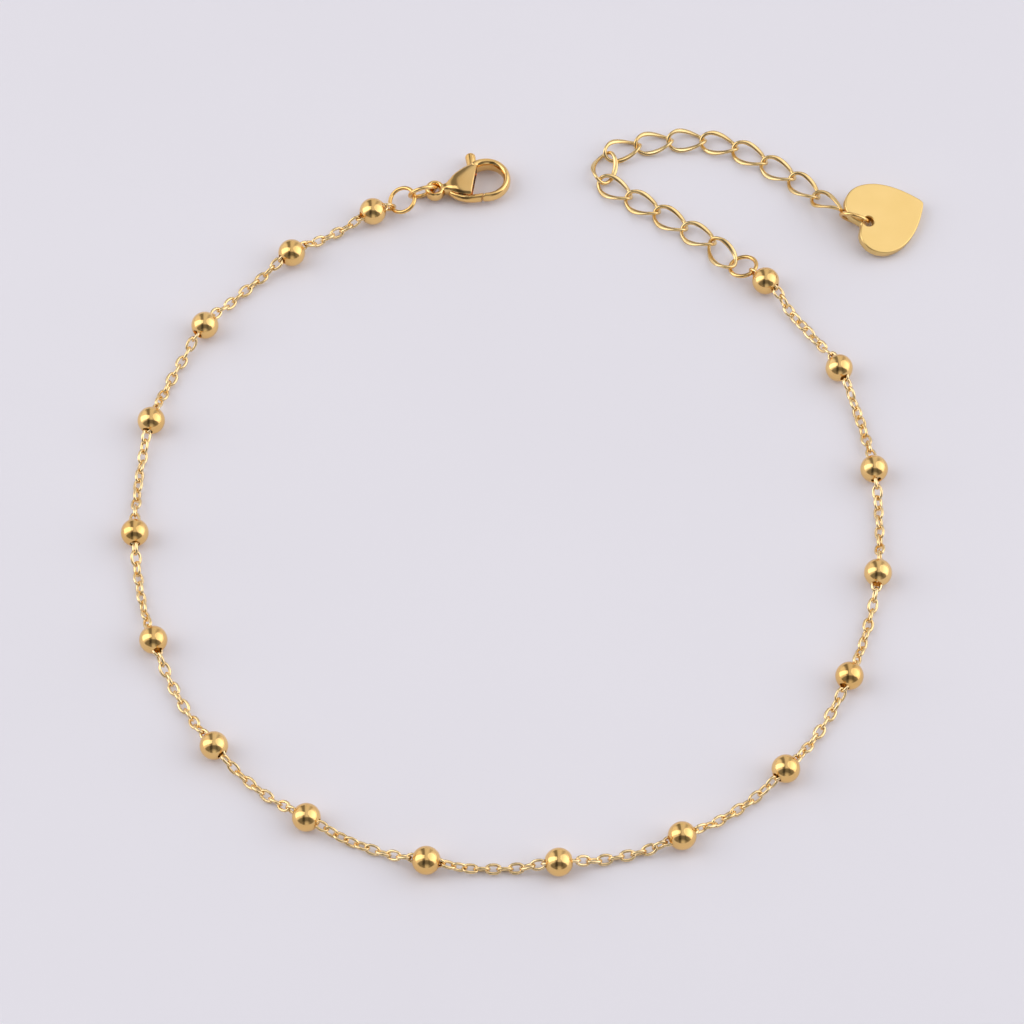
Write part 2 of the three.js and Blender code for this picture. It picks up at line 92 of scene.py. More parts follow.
noiseSpan = (0.3, 0.7)  # a noise pattern hardly leaves this range


def platedMetal(name, look):
    material = bpy.data.materials.new(name)
    material.use_nodes = True
    tree = material.node_tree
    tree.nodes.clear()
    place = addNode(tree, "ShaderNodeTexCoord").outputs["Object"]
    # slow drift of the plating's tone, a few millimetres across
    drift = addNode(tree, "ShaderNodeTexNoise",
                    {"Scale": 1 / (look["driftMm"] * mm), "Detail": 2.0}, {"Vector": place})
    tone = addNode(tree, "ShaderNodeValToRGB", links={"Fac": drift.outputs["Fac"]})
    for stop, position, colour in zip(tone.color_ramp.elements, noiseSpan, (look["deep"], look["pale"])):
        stop.position = position
        stop.color = toLinear(colour)
    # fine marks of handling, which only blur the gloss
    stretched = addNode(tree, "ShaderNodeMapping", {"Scale": look["grainShape"]}, {"Vector": place})
    grain = addNode(tree, "ShaderNodeTexNoise",
                    {"Scale": 1 / (look["grainMm"] * mm), "Detail": 4.0, "Roughness": 0.6},
                    {"Vector": stretched.outputs["Vector"]})
    rough = addNode(tree, "ShaderNodeMapRange",
                    {"From Min": noiseSpan[0], "From Max": noiseSpan[1],
                     "To Min": look["rough"][0], "To Max": look["rough"][1]},
                    {"Value": grain.outputs["Fac"]})
    relief = addNode(tree, "ShaderNodeBump",
                     {"Strength": look["relief"], "Distance": look["reliefMm"] * mm},
                     {"Height": grain.outputs["Fac"]})
    shader = addNode(tree, "ShaderNodeBsdfPrincipled", {"Metallic": 1.0},
                     {"Base Color": tone.outputs["Color"], "Roughness": rough.outputs["Result"],
                      "Normal": relief.outputs["Normal"]})
    addNode(tree, "ShaderNodeOutputMaterial", links={"Surface": shader.outputs["BSDF"]})
    return material


# stainless steel, tumbled bright and gold plated: mirror gloss, warm yellow, small colour drift
polishedPlate = platedMetal("polished_gold_plate", {
    "deep": "#EFC176", "pale": "#F6CE88", "driftMm": 4.0, "grainMm": 0.25, "grainShape": (1, 1, 1),
    "rough": (0.10, 0.16), "relief": 0.05, "reliefMm": 0.004})

# drawn steel wire under the same plating, with a slightly softer gloss; its gold is painted brighter and
# paler than the plating, as painted light that makes up for the chain's own shade
wirePlateWithPaintedLight = platedMetal("drawn_wire_gold_plate_with_painted_light", {
    "deep": "#F8D698", "pale": "#FDE1AC", "driftMm": 3.0, "grainMm": 0.15, "grainShape": (1, 1, 1),
    "rough": (0.14, 0.22), "relief": 0.05, "reliefMm": 0.003})

# curb wire with its sides filed flat before plating: paler gold, soft gloss with fine file marks
filedPlate = platedMetal("filed_curb_gold_plate", {
    "deep": "#E8C584", "pale": "#F1D49B", "driftMm": 3.0, "grainMm": 0.18, "grainShape": (1, 1, 0.5),
    "rough": (0.14, 0.22), "relief": 0.06, "reliefMm": 0.003})

# stamped sheet with a satin rubbed face: broad soft sheen, fine marks along the tag
satinPlate = platedMetal("satin_gold_plate", {
    "deep": "#E9C780", "pale": "#EFCE89", "driftMm": 5.0, "grainMm": 0.12, "grainShape": (1, 0.35, 1),
    "rough": (0.30, 0.38), "relief": 0.12, "reliefMm": 0.006})


def deselectAll():
    if bpy.context.object and bpy.context.object.mode != "OBJECT":
        bpy.ops.object.mode_set(mode="OBJECT")
    bpy.ops.object.select_all(action="DESELECT")


def pick(piece):
    deselectAll()
    piece.select_set(True)
    bpy.context.view_layer.objects.active = piece


def selectFaces(piece, test):
    # selects faces of a mesh by a test on their place, and leaves edit mode on
    bpy.ops.object.mode_set(mode="EDIT")
    bpy.ops.mesh.select_mode(type="FACE")
    bpy.ops.mesh.select_all(action="DESELECT")
    bpy.ops.object.mode_set(mode="OBJECT")
    for face in piece.data.polygons:
        face.select = test(face.center)
    bpy.ops.object.mode_set(mode="EDIT")


def applyModifier(piece, kind, **settings):
    pick(piece)
    modifier = piece.modifiers.new(kind.lower(), kind)
    for name, value in settings.items():
        setattr(modifier, name, value)
    bpy.ops.object.modifier_apply(modifier=modifier.name)


def settleNormals(piece):
    pick(piece)
    bpy.ops.object.mode_set(mode="EDIT")
    bpy.ops.mesh.select_all(action="SELECT")
    bpy.ops.mesh.remove_doubles(threshold=1e-7)
    bpy.ops.mesh.normals_make_consistent(inside=False)
    bpy.ops.object.mode_set(mode="OBJECT")


def placeInMesh(piece, matrix=None):
    piece.data.transform((matrix or Matrix.Identity(4)) @ piece.matrix_basis)
    piece.matrix_basis = Matrix.Identity(4)
    return piece


def copyPiece(piece, name, matrix):
    copied = piece.copy()
    copied.data = piece.data.copy()
    copied.name = name
    copied.data.name = name
    bpy.context.scene.collection.objects.link(copied)
    copied.data.transform(matrix)
    return copied


def dressPiece(piece, material, body, replaced):
    piece.data.materials.clear()
    piece.data.materials.append(material)
    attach(piece, body)
    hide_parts(*replaced)
    return piece


def removePiece(piece):
    bpy.data.objects.remove(piece)


def joinPieces(parts, name):
    deselectAll()
    for part in parts:
        part.select_set(True)
    bpy.context.view_layer.objects.active = parts[0]
    bpy.ops.object.join()
    parts[0].name = name
    parts[0].data.name = name
    return parts[0]


# a wire bent into a closed ring or oval, from a curve with a round section
def bentWire(name, length, width, wire, steps, sides):
    deselectAll()
    bpy.ops.curve.primitive_bezier_circle_add(radius=0.5, location=(0, 0, 0))
    ring = bpy.context.object
    ring.name = name
    bpy.ops.object.mode_set(mode="EDIT")
    bpy.ops.curve.select_all(action="SELECT")
    size = ((length - wire) * mm, (width - wire) * mm, 1)
    bpy.ops.transform.resize(value=size, center_override=(0, 0, 0))
    bpy.ops.object.mode_set(mode="OBJECT")
    ring.data.dimensions = "3D"
    ring.data.resolution_u = steps
    ring.data.bevel_depth = wire / 2 * mm
    ring.data.bevel_resolution = sides // 2 - 2  # a resolution of r makes 2 r + 4 sides
    bpy.ops.object.convert(target="MESH")
    piece = bpy.context.object
    settleNormals(piece)
    bpy.ops.object.shade_smooth()
    return piece


def nodePoints(name):
    return np.array([v.co for v in nodes[name].data.vertices])


# middle and own axes of a wire ring or link: long way, wide way and square to both
def wireFrame(name):
    points = nodePoints(name)
    middle = points.mean(0)
    axes = np.linalg.eigh(np.cov((points - middle).T))[1]
    along, across = Vector(axes[:, 2]), Vector(axes[:, 1])
    upward = along.cross(across)
    matrix = Matrix((along, across, upward)).transposed().to_4x4()
    matrix.translation = Vector(middle)
    return matrix


# beads, drilled for the chain; millimetres and degrees, as in every dictionary below
bead = {"diameter": 3.0, "bore": 1.3, "rim": 0.07, "rimSteps": 3, "around": 40, "rows": 26, "crease": 50.0}


def drilledBead():
    deselectAll()
    radius = bead["diameter"] / 2 * mm
    bpy.ops.mesh.primitive_uv_sphere_add(segments=bead["around"], ring_count=bead["rows"],
                                         radius=radius, location=(0, 0, 0))
    piece = bpy.context.object
    mouth = math.sqrt(radius ** 2 - (bead["bore"] / 2 * mm) ** 2)
    bpy.ops.object.mode_set(mode="EDIT")
    for side in (1, -1):
        bpy.ops.mesh.select_all(action="SELECT")
        bpy.ops.mesh.bisect(plane_co=(0, 0, side * mouth), plane_no=(0, 0, side), clear_outer=True)
    bpy.ops.mesh.select_mode(type="EDGE")
    bpy.ops.mesh.select_all(action="DESELECT")
    bpy.ops.mesh.select_non_manifold()
    bpy.ops.mesh.bridge_edge_loops()
    settleNormals(piece)
    # the two edges where the drill broke through are softened
    corners = piece.data.vertices
    for edge in piece.data.edges:
        heights = [abs(corners[i].co.z) for i in edge.vertices]
        edge.select = min(heights) > mouth - onPlane
    for corner in corners:
        corner.select = abs(corner.co.z) > mouth - onPlane
    for face in piece.data.polygons:
        face.select = False
    bpy.ops.object.mode_set(mode="EDIT")
    bpy.ops.mesh.bevel(offset=bead["rim"] * mm, segments=bead["rimSteps"], affect="EDGES")
    bpy.ops.object.mode_set(mode="OBJECT")
    bpy.ops.object.shade_smooth_by_angle(angle=math.radians(bead["crease"]))
    return piece


beadNames = sorted(n for n in nodes if n.startswith("bead_"))
beadCentres = [(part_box(n)[0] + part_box(n)[1]) / 2 / mm for n in beadNames]


# fine chain: its links follow a route through the beads, level at a bead and lower between beads;
# turns are the links' rolls in degrees, evenly spread over the route, and loose is their random part
chain = {"length": 1.88, "width": 1.28, "wire": 0.34, "pitch": 1.19, "steps": 3, "sides": 6,
         "rest": 0.66, "level": 1.75, "lowShares": (0.3, 0.5, 0.7), "stops": 24,
         "leadClasp": 30.0, "leadExtender": 137.0, "mouth": 1.45, "pastWire": 0.26,
         "turns": (12, 44, 20, -22, -45, -16, 30, 48, 8, -30, -44, 0, 38, 52, 14, -28, -46, -8,
                   34, 46, 10, -36, -48, -12, 26, 45, 16, -30, -44, 5, 40, 50, 12, -26),
         "loose": 12.0, "endLinks": 3, "seed": 4}


def centripetal(points, segment, share):
    # point on a smooth curve through all the points, on the stretch after one of them
    last = len(points) - 1
    here, onward = points[segment], points[segment + 1]
    before = points[segment - 1] if segment > 0 else here * 2 - onward
    after = points[segment + 2] if segment + 2 <= last else onward * 2 - here
    level = [before, here, onward, after]
    knots = [0.0]
    for a, b in zip(level, level[1:]):
        knots.append(knots[-1] + max((b - a).length, 1e-9) ** 0.5)
    t = knots[1] + share * (knots[2] - knots[1])
    for spans in (((0, 1), (1, 2), (2, 3)), ((0, 2), (1, 3)), ((1, 2),)):
        level = [((knots[end] - t) * level[i] + (t - knots[start]) * level[i + 1])
                 / (knots[end] - knots[start]) for i, (start, end) in enumerate(spans)]
    return level[0]


def headingVector(degrees):
    return Vector((math.cos(math.radians(degrees)), math.sin(math.radians(degrees)), 0))


planPoints = [Vector((c.x, c.y, 0)) for c in beadCentres]


def beadDirection(i):
    near = 0.01  # share of a stretch on both sides of the bead, over which its direction is read
    if i == 0:
        return -headingVector(chain["leadClasp"])
    if i == len(planPoints) - 1:
        return headingVector(chain["leadExtender"])
    return (centripetal(planPoints, i, near) - centripetal(planPoints, i - 1, 1 - near)).normalized()


def nearestOnRing(name, target):
    # middle of a ring's wire at its point nearest to a place
    matrix = wireFrame(name)
    points = nodePoints(name) - np.array(matrix.translation)
    mean = (np.linalg.norm(points, axis=1).max() + np.linalg.norm(points, axis=1).min()) / 2 / mm
    centre = matrix.translation / mm
    upward = matrix.col[2].to_3d()
    toTarget = target - centre
    return centre + (toTarget - upward * toTarget.dot(upward)).normalized() * mean


def chainRoute():
    points = []
    last = len(beadCentres) - 1
    for i, centre in enumerate(beadCentres):
        reach = beadDirection(i) * chain["level"]
        points += [centre - reach, centre, centre + reach]
        if i < last:
            for share in chain["lowShares"]:
                low = centripetal(planPoints, i, share)
                points.append(Vector((low.x, low.y, chain["rest"])))
    # both ends reach just past the wire of the ring they hold
    for end, name, inner in ((0, "clasp_ring", beadCentres[0]), (-1, "extender_ring", beadCentres[-1])):
        direction = beadDirection(0 if end == 0 else last) * (-1 if end == 0 else 1)
        mouth = inner + direction * chain["mouth"]
        held = nearestOnRing(name, inner)
        past = held + (held - mouth).normalized() * (chain["wire"] / 2 + chain["pastWire"])
        points[end] = mouth
        points.insert(0 if end == 0 else len(points), past)
    dense = []
    for segment in range(len(points) - 1):
        dense += [centripetal(points, segment, k / chain["stops"]) for k in range(chain["stops"])]
    dense.append(points[-1])
    return dense


def chainLinks():
    route = chainRoute()
    run = [0.0]
    for a, b in zip(route, route[1:]):
        run.append(run[-1] + (b - a).length)
    half = (chain["length"] - chain["wire"]) / 2
    count = round((run[-1] - 2 * half) / chain["pitch"]) + 1
    count += 1 - count % 2  # an odd count stands both end links upright in their rings
    pitch = (run[-1] - 2 * half) / (count - 1)
    chance = random.Random(chain["seed"])
    xs, ys, zs = ([p[i] for p in route] for i in range(3))

    def at(distance):
        return Vector([float(np.interp(distance, run, axis)) for axis in (xs, ys, zs)])

    link = bentWire("chainLink", *(chain[key] for key in ("length", "width", "wire", "steps", "sides")))
    links = []
    for k in range(count):
        middle = half + k * pitch
        start, end = at(middle - half), at(middle + half)
        along = (end - start).normalized()
        share = middle / run[-1] * (len(chain["turns"]) - 1)
        turn = float(np.interp(share, range(len(chain["turns"])), chain["turns"]))
        turn *= min(1.0, k / chain["endLinks"], (count - 1 - k) / chain["endLinks"])
        loose = chance.uniform(-1, 1) * chain["loose"] * (0 < k < count - 1)
        roll = math.radians(turn + (90 if k % 2 == 0 else 0) + loose)
        side = Vector((0, 0, 1)).cross(along).normalized()
        across = Matrix.Rotation(roll, 3, along) @ side
        matrix = Matrix((along, across, along.cross(across))).transposed().to_4x4()
        matrix.translation = (start + end) / 2 * mm
        links.append(copyPiece(link, f"link_{k}", matrix))
    removePiece(link)
    print("chain links:", count, "pitch", round(pitch, 3))
    return joinPieces(links, "fine_chain")


# rings and extender links
ring = {"wire": 0.46, "steps": 16, "sides": 14}
curb = {"length": 4.62, "width": 2.88, "wire": 0.43, "twist": 40.0, "steps": 12, "sides": 12,
        "sideWidth": 1.38, "sideHeight": 0.88, "flatTo": 0.32, "roundFrom": 0.68}


def makeRings():
    for name in ("clasp_ring", "clasp_link_ring", "extender_ring", "heart_ring"):
        matrix = wireFrame(name)
        points = nodePoints(name) - np.array(matrix.translation)
        outer = np.linalg.norm(points, axis=1).max() * 2 / mm
        piece = bentWire("wire_" + name, outer, outer, ring["wire"], ring["steps"], ring["sides"])
        placeInMesh(piece, matrix)
        dressPiece(piece, polishedPlate, "anklet", [name])


def fileSidesFlat(link):
    # the link's long sides are wider and lower than its ends, as a filed curb's are
    corners = link.data.vertices
    half = curb["length"] / 2 * mm
    radii = ((curb["length"] - curb["wire"]) / 2 * mm, (curb["width"] - curb["wire"]) / 2 * mm)
    for corner in corners:
        turn = math.atan2(corner.co.y / radii[1], corner.co.x / radii[0])
        middle = Vector((radii[0] * math.cos(turn), radii[1] * math.sin(turn), 0))
        share = (curb["roundFrom"] - abs(middle.x) / half) / (curb["roundFrom"] - curb["flatTo"])
        share = min(max(share, 0), 1)
        share *= share * (3 - 2 * share)
        offset = corner.co - middle
        wide, high = 1 + (curb["sideWidth"] - 1) * share, 1 + (curb["sideHeight"] - 1) * share
        corner.co = middle + Vector((offset.x, offset.y * wide, offset.z * high))


def makeCurbLinks():
    link = bentWire("curbLink", *(curb[key] for key in ("length", "width", "wire", "steps", "sides")))
    fileSidesFlat(link)
    meanLength = curb["length"] - curb["wire"]
    angle = -2 * curb["twist"] * curb["length"] / meanLength
    applyModifier(link, "SIMPLE_DEFORM", deform_method="TWIST", deform_axis="X", angle=math.radians(angle))
    for name in sorted(n for n in nodes if n.startswith("extender_link_")):
        piece = copyPiece(link, "curb_" + name[-2:], wireFrame(name))
        dressPiece(piece, filedPlate, "anklet", [name])
    removePiece(link)


# heart tag, drawn with its origin at the hole and x towards the tip
tag = {"thickness": 1.0, "hole": 1.2, "holeSides": 40, "drill": 4.0, "heading": 26.0, "curve": 16,
       "bevel": 0.2, "bevelSteps": 3, "bevelFrom": 50.0, "crease": 40.0,
       "notch": -0.95, "notchPull": (0.2, 0.5), "lobes": -1.8, "lobeLow": 0.9, "lobeHigh": 1.85,
       "lobeSide": 3.3, "crown": -0.5, "half": 4.35, "widest": 0.95, "flankStart": 3.25,
       "flankEnd": (1.95, 2.75), "tip": 7.1, "tipRound": (0.4, 0.75), "tipPull": (0.13, 0.37),
       "tipFlat": 0.18, "tipSteps": 5}


def bezierRun(points, steps):
    run = []
    for k in range(steps):
        t = k / steps
        a, b, c, d = (Vector(p) for p in points)
        run.append(a * (1 - t) ** 3 + b * 3 * t * (1 - t) ** 2 + c * 3 * t ** 2 * (1 - t) + d * t ** 3)
    return run


def heartOutline():
    notch, lobes, tip, half, widest = (tag[k] for k in ("notch", "lobes", "tip", "half", "widest"))
    pull, flank, rounding, tipPull = (tag[k] for k in ("notchPull", "flankEnd", "tipRound", "tipPull"))
    shoulder, tipStart = (lobes, tag["lobeHigh"]), (tip - rounding[0], rounding[1])
    upper = bezierRun([(notch, 0), (notch - pull[0], pull[1]), (lobes, tag["lobeLow"]), shoulder],
                      tag["curve"] // 2)
    upper += bezierRun([shoulder, (lobes, tag["lobeSide"]), (tag["crown"], half), (widest, half)],
                       tag["curve"])
    upper += bezierRun([(widest, half), (tag["flankStart"], half), (tip - flank[0], flank[1]), tipStart],
                       tag["curve"])
    upper += bezierRun([tipStart, (tip - tipPull[0], tipPull[1]), (tip, tag["tipFlat"]), (tip, 0)],
                       tag["tipSteps"])
    lower = [Vector((p.x, -p.y)) for p in reversed(upper[1:])]
    return upper + [Vector((tip, 0))] + lower


def tagMatrix():
    # the tag's own frame, read from its node: square to the flat faces, x from the notch to the tip
    mesh = nodes["heart_tag"].data
    top = max(mesh.polygons, key=lambda face: face.area * (face.normal.z > 0.5))
    tilt = Vector((0, 0, 1)).rotation_difference(top.normal).to_matrix()
    turned = tilt @ Matrix.Rotation(math.radians(tag["heading"]), 3, "Z")
    local = np.array([turned.transposed() @ v.co for v in mesh.vertices])
    lows, highs = local.min(0), local.max(0)
    matrix = turned.to_4x4()
    matrix.translation = turned @ Vector((highs[0] - tag["tip"] * mm, (lows[1] + highs[1]) / 2, lows[2]))
    return matrix


def heartPiece():
    outline = heartOutline()
    deselectAll()
    bpy.ops.mesh.primitive_circle_add(vertices=len(outline), radius=mm, fill_type="NGON", location=(0, 0, 0))
    piece = bpy.context.object
    for corner, place in zip(piece.data.vertices, outline):
        corner.co = (place.x * mm, place.y * mm, 0)
    bpy.ops.object.mode_set(mode="EDIT")
    bpy.ops.mesh.select_all(action="SELECT")
    bpy.ops.mesh.extrude_region_move(TRANSFORM_OT_translate={"value": (0, 0, tag["thickness"] * mm)})
    settleNormals(piece)
    # the hole is drilled through, then both faces get a soft edge
    deselectAll()
    bpy.ops.mesh.primitive_cylinder_add(vertices=tag["holeSides"], radius=tag["hole"] / 2 * mm,
                                        depth=tag["drill"] * mm, location=(0, 0, 0))
    drill = bpy.context.object
    applyModifier(piece, "BOOLEAN", operation="DIFFERENCE", object=drill, solver="EXACT")
    removePiece(drill)
    applyModifier(piece, "BEVEL", width=tag["bevel"] * mm, segments=tag["bevelSteps"],
                  limit_method="ANGLE", angle_limit=math.radians(tag["bevelFrom"]))
    bpy.ops.object.shade_smooth_by_angle(angle=math.radians(tag["crease"]))
    # keeps the faces flat in the light
    applyModifier(piece, "WEIGHTED_NORMAL", keep_sharp=True, weight=100)
    return placeInMesh(piece, tagMatrix())


# lobster clasp, drawn with its origin at the middle of the eye and x towards the hook
clasp = {"fromFirstBead": (6.894, 3.034, -0.4), "heading": 10.0, "voxel": 0.05,
         "stations": (1.0, 1.3, 1.6, 1.9, 2.4, 3.0, 3.7, 4.4, 5.0, 5.7),
         "top": (0.50, 0.58, 0.84, 1.14, 1.62, 2.02, 2.40, 2.66, 2.80, 2.86),
         "bottom": (-0.50, -0.52, -0.72, -0.95, -1.25, -1.52, -1.72, -1.85, -1.90, -1.90),
         "half": (0.70, 0.76, 0.86, 0.95, 1.04, 1.08, 1.1, 1.1, 1.08, 1.05),
         "square": 2.7, "around": 64, "steps": 37, "melt": 20, "crease": 40.0,
         "cheekFoot": (3.72, -1.95), "cheekTop": (5.30, 2.60), "slot": 1.25, "slotBack": 1.75,
         "slotFront": 5.02, "slotReach": 4.0, "boreSides": 32, "boreLength": 4.0,
         "eyeHole": 0.95, "eyeOuter": 2.3, "eyeHeight": 1.45, "eyeSteps": (48, 16)}
hook = {"centre": (5.9, 0.34), "radii": (2.29, 2.20), "from": 122, "to": -109, "over": 10, "steps": 40,
        "seamBelow": -0.8, "walls": (1.15, 1.0, 0.84, 0.80, 0.78),
        "heights": (2.0, 1.85, 1.65, 1.45, 1.35), "around": 24}
lever = {"pivot": (2.9, -0.7), "pin": 0.7, "pinLength": 1.6, "pinSides": 24, "gap": 0.1,
         "stops": 26, "around": 20,
         "arm": ((1.62, -0.55), (2.1, -0.98), (2.8, -1.42), (3.6, -1.70), (4.4, -1.80), (5.3, -1.78)),
         "armWidths": (0.6, 0.72, 0.82, 0.84, 0.82, 0.80), "armHeights": (0.8, 0.95, 1.0, 1.1, 1.25, 1.25),
         "stem": ((2.95, -1.3), (3.05, -0.5), (3.7, 0.8), (4.35, 2.0), (4.6, 3.0), (4.65, 3.75)),
         "stemWidths": (1.4, 1.4, 1.1, 0.85, 1.1, 1.2), "stemHeights": (1.0, 1.0, 1.0, 1.0, 1.05, 1.15),
         "knob": (1.2, 1.0, 1.15), "knobSteps": (24, 16)}


def superCircle(piece, square):
    # squares a circle's corners a little, its size kept
    for corner in piece.data.vertices:
        turn = math.atan2(corner.co.z, corner.co.y)
        radius = (abs(math.cos(turn)) ** square + abs(math.sin(turn)) ** square) ** (-1 / square)
        corner.co.y, corner.co.z = radius * math.cos(turn), radius * math.sin(turn)


def smoothRun(values, share):
    # value between the entries of a list, on a smooth curve through them all
    k = min(int(share), len(values) - 2)
    t = share - k
    here, onward = values[k], values[k + 1]
    leave = (onward - values[max(k - 1, 0)]) / 2
    arrive = (values[min(k + 2, len(values) - 1)] - here) / 2
    return (here * (1 + 2 * t) * (1 - t) ** 2 + leave * t * (1 - t) ** 2
            + onward * t * t * (3 - 2 * t) - arrive * t * t * (1 - t))


def shellSolid():
    deselectAll()
    bpy.ops.mesh.primitive_circle_add(vertices=clasp["around"], radius=1, fill_type="NGON",
                                      location=(0, 0, 0), rotation=(0, math.pi / 2, 0))
    piece = placeInMesh(bpy.context.object)
    superCircle(piece, clasp["square"])
    shares = np.linspace(0, len(clasp["stations"]) - 1, clasp["steps"])
    stations = [[smoothRun(clasp[key], share) for key in ("stations", "top", "bottom", "half")]
                for share in shares]
    along, top, bottom, half = stations[0]
    for corner in piece.data.vertices:
        corner.co = (along, (top + bottom) / 2 + corner.co.y * (top - bottom) / 2, corner.co.z * half)
    bpy.ops.object.mode_set(mode="EDIT")
    bpy.ops.mesh.select_all(action="SELECT")
    for before, here in zip(stations, stations[1:]):
        centre = (here[1] + here[2]) / 2
        step = (here[0] - before[0], centre - (before[1] + before[2]) / 2, 0)
        bpy.ops.mesh.extrude_region_move(TRANSFORM_OT_translate={"value": step})
        growth = (1, (here[1] - here[2]) / (before[1] - before[2]), here[3] / before[3])
        bpy.ops.transform.resize(value=growth, center_override=(here[0], centre, 0))
    # the cheeks are cut off along a slanted line
    foot, head = Vector(clasp["cheekFoot"]), Vector(clasp["cheekTop"])
    edge = (head - foot).normalized()
    bpy.ops.mesh.select_all(action="SELECT")
    bpy.ops.mesh.bisect(plane_co=(foot.x, foot.y, 0), plane_no=(edge.y, -edge.x, 0),
                        use_fill=True, clear_outer=True)
    bpy.ops.object.mode_set(mode="OBJECT")
    settleNormals(piece)
    return piece


def sweptBar(name, points, widths, heights, around):
    # a bar through flat points, with an oval section of its own width and height at each
    deselectAll()
    bpy.ops.mesh.primitive_cylinder_add(vertices=around, radius=1, depth=1, location=(0, 0, 0))
    piece = bpy.context.object
    piece.name = name
    bpy.ops.object.mode_set(mode="EDIT")
    bpy.ops.mesh.select_all(action="SELECT")
    for k in range(1, len(points) - 1):
        cut = -0.5 + k / (len(points) - 1)
        bpy.ops.mesh.select_all(action="SELECT")
        bpy.ops.mesh.bisect(plane_co=(0, 0, cut), plane_no=(0, 0, 1))
    bpy.ops.object.mode_set(mode="OBJECT")
    flat = [Vector((p[0], p[1], 0)) for p in points]
    for corner in piece.data.vertices:
        k = round((corner.co.z + 0.5) * (len(points) - 1))
        onward = (flat[min(k + 1, len(flat) - 1)] - flat[max(k - 1, 0)]).normalized()
        sideways = Vector((-onward.y, onward.x, 0))
        corner.co = (flat[k] + sideways * corner.co.x * widths[k] / 2
                     + Vector((0, 0, 1)) * corner.co.y * heights[k] / 2)
    settleNormals(piece)
    return piece


def block(name, low, high):
    deselectAll()
    bpy.ops.mesh.primitive_cube_add(size=1, location=[(a + b) / 2 for a, b in zip(low, high)])
    piece = bpy.context.object
    piece.name = name
    bpy.ops.transform.resize(value=[b - a for a, b in zip(low, high)])
    return placeInMesh(piece)


def claspMatrix():
    matrix = Matrix.Rotation(math.radians(clasp["heading"]), 4, "Z")
    matrix.translation = (firstBead + Vector(clasp["fromFirstBead"])) * mm
    return matrix @ Matrix.Scale(mm, 4)


def castTogether(parts, name):
    # the parts become one casting with softly melted joins
    piece = joinPieces(parts, name)
    applyModifier(piece, "REMESH", mode="VOXEL", voxel_size=clasp["voxel"], adaptivity=0.0)
    applyModifier(piece, "SMOOTH", factor=0.5, iterations=clasp["melt"])
    return piece


def spread(values, count):
    # values evenly spaced over a number of steps
    places = np.linspace(0, len(values) - 1, count)
    return [float(v) for v in np.interp(places, range(len(values)), values)]


def hookPoint(degrees):
    angle = math.radians(degrees)
    return Vector((hook["centre"][0] + hook["radii"][0] * math.cos(angle),
                   hook["centre"][1] + hook["radii"][1] * math.sin(angle), 0))


def hookSeam():
    # the seam stands square to the path of the gate's outer corner, so that the gate can swing in
    tip = hookPoint(hook["to"])
    near = 0.5  # degrees on both sides of the tip, over which the hook's direction is read
    along = (hookPoint(hook["to"] - near) - hookPoint(hook["to"] + near)).normalized()
    outer = tip + Vector((-along.y, along.x, 0)) * hook["walls"][-1] / 2
    pivot = Vector((*lever["pivot"], 0))
    return outer, (outer - pivot).normalized()


def cutOff(piece, place, outward, shift, below=math.inf):
    # cuts a piece off along an upright plane and closes it; what lies outward goes, below a given y
    pick(piece)
    selectFaces(piece, lambda centre: centre.y < below)
    bpy.ops.mesh.bisect(plane_co=place + outward * shift, plane_no=outward, use_fill=True, clear_outer=True)
    bpy.ops.object.mode_set(mode="OBJECT")
    settleNormals(piece)


def boredThrough(piece, diameter, place):
    deselectAll()
    bpy.ops.mesh.primitive_cylinder_add(vertices=clasp["boreSides"], radius=diameter / 2,
                                        depth=clasp["boreLength"], location=(*place, 0))
    bore = bpy.context.object
    applyModifier(piece, "BOOLEAN", operation="DIFFERENCE", object=bore, solver="EXACT")
    removePiece(bore)


def claspShell():
    parts = [shellSolid()]
    count = hook["steps"] + 1
    end = hook["to"] - hook["over"]
    path = [hookPoint(hook["from"] + (end - hook["from"]) * k / hook["steps"]) for k in range(count)]
    walls, heights = spread(hook["walls"], count), spread(hook["heights"], count)
    bar = sweptBar("hookBar", path, walls, heights, hook["around"])
    outer, outward = hookSeam()
    cutOff(bar, outer, -outward, 0, hook["seamBelow"])
    parts.append(bar)
    deselectAll()
    majorSteps, minorSteps = clasp["eyeSteps"]
    bpy.ops.mesh.primitive_torus_add(major_segments=majorSteps, minor_segments=minorSteps,
                                     location=(0, 0, 0),
                                     major_radius=(clasp["eyeOuter"] + clasp["eyeHole"]) / 4,
                                     minor_radius=(clasp["eyeOuter"] - clasp["eyeHole"]) / 4)
    eye = bpy.context.object
    rise = clasp["eyeHeight"] / ((clasp["eyeOuter"] - clasp["eyeHole"]) / 2)
    bpy.ops.transform.resize(value=(1, 1, rise))
    parts.append(placeInMesh(eye))
    piece = castTogether(parts, "clasp_shell")
    # the slot that the lever works in, and the pin across it
    halfSlot, reach = clasp["slot"] / 2, clasp["slotReach"]
    slot = block("slot", (clasp["slotBack"], -reach, -halfSlot), (clasp["slotFront"], reach, halfSlot))
    applyModifier(piece, "BOOLEAN", operation="DIFFERENCE", object=slot, solver="EXACT")
    removePiece(slot)
    deselectAll()
    bpy.ops.mesh.primitive_cylinder_add(vertices=lever["pinSides"], radius=lever["pin"] / 2,
                                        depth=lever["pinLength"], location=(*lever["pivot"], 0))
    pin = placeInMesh(bpy.context.object)
    piece = joinPieces([piece, pin], "clasp_shell")
    pick(piece)
    bpy.ops.object.shade_smooth_by_angle(angle=math.radians(clasp["crease"]))
    return placeInMesh(piece, claspMatrix())


